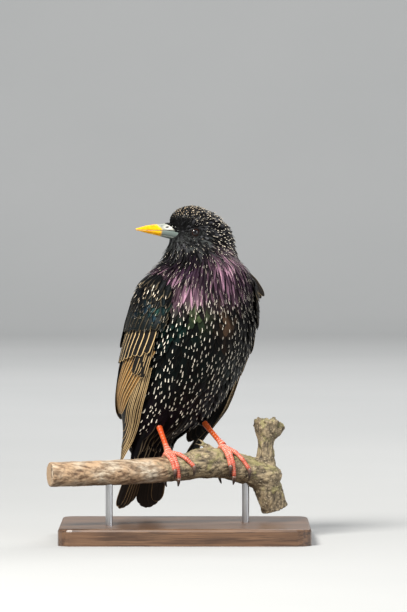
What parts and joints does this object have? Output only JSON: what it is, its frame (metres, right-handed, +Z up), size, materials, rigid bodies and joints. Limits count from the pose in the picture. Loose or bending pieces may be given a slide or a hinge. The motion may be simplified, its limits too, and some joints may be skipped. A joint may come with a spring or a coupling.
{
  "type": "starling museum model",
  "caption": "Starling gripping a cut length of forked branch, a still life-size bird with feathered wings and tail, held on a plain wooden stand by two short rods.",
  "frame": {"origin": "middle of the display base's underside, on the surface that it stands on", "axes": "+Z up; +X to the right as the picture shows the bird; -Y towards the picture's camera. The bird's breast faces 30 degrees from -Y towards +X"},
  "size_m": [0.1469, 0.112, 0.1874],
  "materials": {
    "plumage": "glossy black body feathers with purple and green sheen and pale tips",
    "flight_feathers": "dark brown flight feathers with buff edges",
    "bill": "yellow horn with a blue-grey base",
    "eye": "wet dark brown",
    "leg_skin": "orange-red scaled skin",
    "claw": "dark horn",
    "bark": "rough bark, partly peeled, with lichen",
    "stand_wood": "satin dark wood",
    "stand_steel": "brushed"
  },
  "bodies": {
    "root": {"head": "plumage", "neck": "plumage", "torso": "plumage", "thigh_left": "plumage", "thigh_right": "plumage", "wing_left": "flight_feathers", "wing_right": "flight_feathers", "tail": "flight_feathers", "bill_upper": "bill", "bill_lower": "bill", "eye_left": "eye", "eye_right": "eye", "leg_left": "leg_skin", "leg_right": "leg_skin", "foot_left": "leg_skin", "foot_right": "leg_skin", "claw_left_inner": "claw", "claw_left_middle": "claw", "claw_left_outer": "claw", "claw_left_hind": "claw", "claw_right_inner": "claw", "claw_right_middle": "claw", "claw_right_outer": "claw", "claw_right_hind": "claw", "perch": "bark", "stand_base": "stand_wood", "stand_rod_left": "stand_steel", "stand_rod_right": "stand_steel"}
  },
  "joints": []
}
